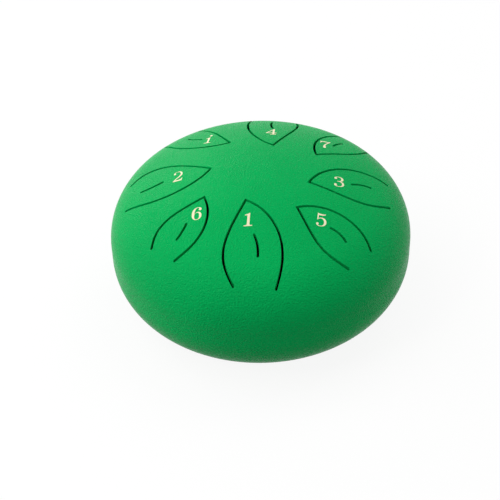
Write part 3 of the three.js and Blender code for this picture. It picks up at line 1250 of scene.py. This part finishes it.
def outside_painted_shadow(tree):
    """A value that rises from 0 beneath the drum to 1 round it. The floor's colour and its white
    are multiplied by it, which paints a black shadow beneath the drum.
    """
    nodes = tree.nodes
    place = nodes.new("ShaderNodeNewGeometry")
    distance = nodes.new("ShaderNodeVectorMath")
    distance.operation = "LENGTH"
    edge = nodes.new("ShaderNodeMapRange")
    edge.interpolation_type = "SMOOTHSTEP"
    edge.inputs["From Min"].default_value = PAINTED_SHADOW_EDGE
    edge.inputs["From Max"].default_value = PAINTED_SHADOW_EDGE + PAINTED_SHADOW_FADE
    tree.links.new(place.outputs["Position"], distance.inputs[0])
    tree.links.new(distance.outputs["Value"], edge.inputs["Value"])
    return edge.outputs["Result"]


def floor():
    """A wide pale floor that shows white away from the drum, with a black shadow painted beneath
    the drum that fades out round it. It is clear from below, where it would hide the drum's
    underside."""
    mesh = bpy.data.meshes.new("floor")
    signs = [(-1, -1), (1, -1), (1, 1), (-1, 1)]
    corners = [(x * FLOOR_REACH, y * FLOOR_REACH, 0) for x, y in signs]
    mesh.from_pydata(corners, [], [(0, 1, 2, 3)])
    obj = bpy.data.objects.new("floor", mesh)
    bpy.context.scene.collection.objects.link(obj)
    material = bpy.data.materials.new("pale_floor")
    material.use_nodes = True
    tree = material.node_tree
    tree.nodes.clear()
    background = sees_background(tree)
    clear = outside_painted_shadow(tree)
    # The floor's colour here and its white share below both fade to black beneath the drum: a
    # painted shadow.
    pale = product(tree, spread(material, background, 0, 1, FLOOR_BOUNCE, FLOOR_PALE), clear)
    diffuse = tree.nodes.new("ShaderNodeBsdfDiffuse")
    white = tree.nodes.new("ShaderNodeEmission")
    above = tree.nodes.new("ShaderNodeMixShader")
    below = tree.nodes.new("ShaderNodeBsdfTransparent")
    side = tree.nodes.new("ShaderNodeNewGeometry")
    both = tree.nodes.new("ShaderNodeMixShader")
    out = tree.nodes.new("ShaderNodeOutputMaterial")
    share = product(tree, product(tree, background, FLOOR_WHITE), clear)
    tree.links.new(pale, diffuse.inputs["Color"])
    tree.links.new(share, above.inputs["Fac"])
    tree.links.new(diffuse.outputs[0], above.inputs[1])
    tree.links.new(white.outputs[0], above.inputs[2])
    tree.links.new(side.outputs["Backfacing"], both.inputs["Fac"])
    tree.links.new(above.outputs[0], both.inputs[1])
    tree.links.new(below.outputs[0], both.inputs[2])
    tree.links.new(both.outputs[0], out.inputs["Surface"])
    mesh.materials.append(material)


AMBIENT = 0.36


def world():
    """White as a background, and a soft even light on everything else."""
    made = bpy.data.worlds.new("studio")
    bpy.context.scene.world = made
    made.use_nodes = True
    tree = made.node_tree
    soft = tree.nodes["Background"]
    soft.inputs["Color"].default_value = (1, 1, 1, 1)
    soft.inputs["Strength"].default_value = AMBIENT
    white = tree.nodes.new("ShaderNodeBackground")
    white.inputs["Color"].default_value = (1, 1, 1, 1)
    mix = tree.nodes.new("ShaderNodeMixShader")
    tree.links.new(sees_background(tree), mix.inputs["Fac"])
    tree.links.new(soft.outputs[0], mix.inputs[1])
    tree.links.new(white.outputs[0], mix.inputs[2])
    tree.links.new(mix.outputs[0], tree.nodes["World Output"].inputs["Surface"])


LAMP_DISTANCE = 1.3
LARGE = 0.9
SMALL = 0.3


def softbox(name, bearing, elevation, size, level):
    """A square area lamp that faces the drum, its place given in degrees. A white card
    turned to it, alone, would look as bright as its level, where 1 is white."""
    light = bpy.data.lights.new(name, "AREA")
    light.shape = "SQUARE"
    light.size = size
    light.energy = level * math.pi ** 2 * LAMP_DISTANCE ** 2
    obj = bpy.data.objects.new(name, light)
    turn, rise = math.radians(bearing), math.radians(elevation)
    level_reach = math.cos(rise)
    toward = Vector((level_reach * math.cos(turn), level_reach * math.sin(turn), math.sin(rise)))
    middle = Vector((0, 0, RIM_TOP * MM))
    obj.location = middle + toward * LAMP_DISTANCE
    obj.rotation_euler = (-toward).to_track_quat("-Z", "Y").to_euler()
    bpy.context.scene.collection.objects.link(obj)


CAMERA_ELEVATION = math.radians(39.42)
CAMERA_DISTANCE = 658.75
CAMERA_YAW = 0.00858
CAMERA_PITCH = -0.0151
CAMERA_ROLL = math.radians(1.316)
FOCAL_PIXELS = 1266.3
FRAME_PIXELS = 500
SENSOR = 36.0
CLIP_START = 0.01


def camera():
    """The photograph's viewpoint, turned a little from the drum's middle."""
    data = bpy.data.cameras.new("camera")
    data.sensor_width = SENSOR
    data.lens = SENSOR * FOCAL_PIXELS / FRAME_PIXELS
    data.clip_start = CLIP_START
    obj = bpy.data.objects.new("camera", data)
    back = Vector((0, -math.cos(CAMERA_ELEVATION), math.sin(CAMERA_ELEVATION)))
    ahead = -back
    right = Vector((1, 0, 0))
    up = right.cross(ahead)
    yaw = Matrix.Rotation(CAMERA_YAW, 3, up)
    ahead, right = yaw @ ahead, yaw @ right
    pitch = Matrix.Rotation(CAMERA_PITCH, 3, right)
    ahead, up = pitch @ ahead, pitch @ up
    roll = Matrix.Rotation(CAMERA_ROLL, 3, ahead)
    right, up = roll @ right, roll @ up
    turn = Matrix((right, up, -ahead)).transposed()
    place = back * CAMERA_DISTANCE + Vector((0, 0, RIM_TOP))
    obj.matrix_world = Matrix.Translation(place * MM) @ turn.to_4x4()
    bpy.context.scene.collection.objects.link(obj)
    bpy.context.scene.camera = obj


floor()
world()
softbox("key", 180, 60, LARGE, 0.36)
softbox("left", 180, 8, LARGE, 0.46)
softbox("back", 120, 8, LARGE, 0.4)
softbox("fill", 45, 60, LARGE, 0.28)
softbox("front", -141, 45, SMALL, 0.165)
softbox("right", -15, 10, LARGE, 0.12)
camera()
bpy.context.scene.view_settings.view_transform = "Standard"
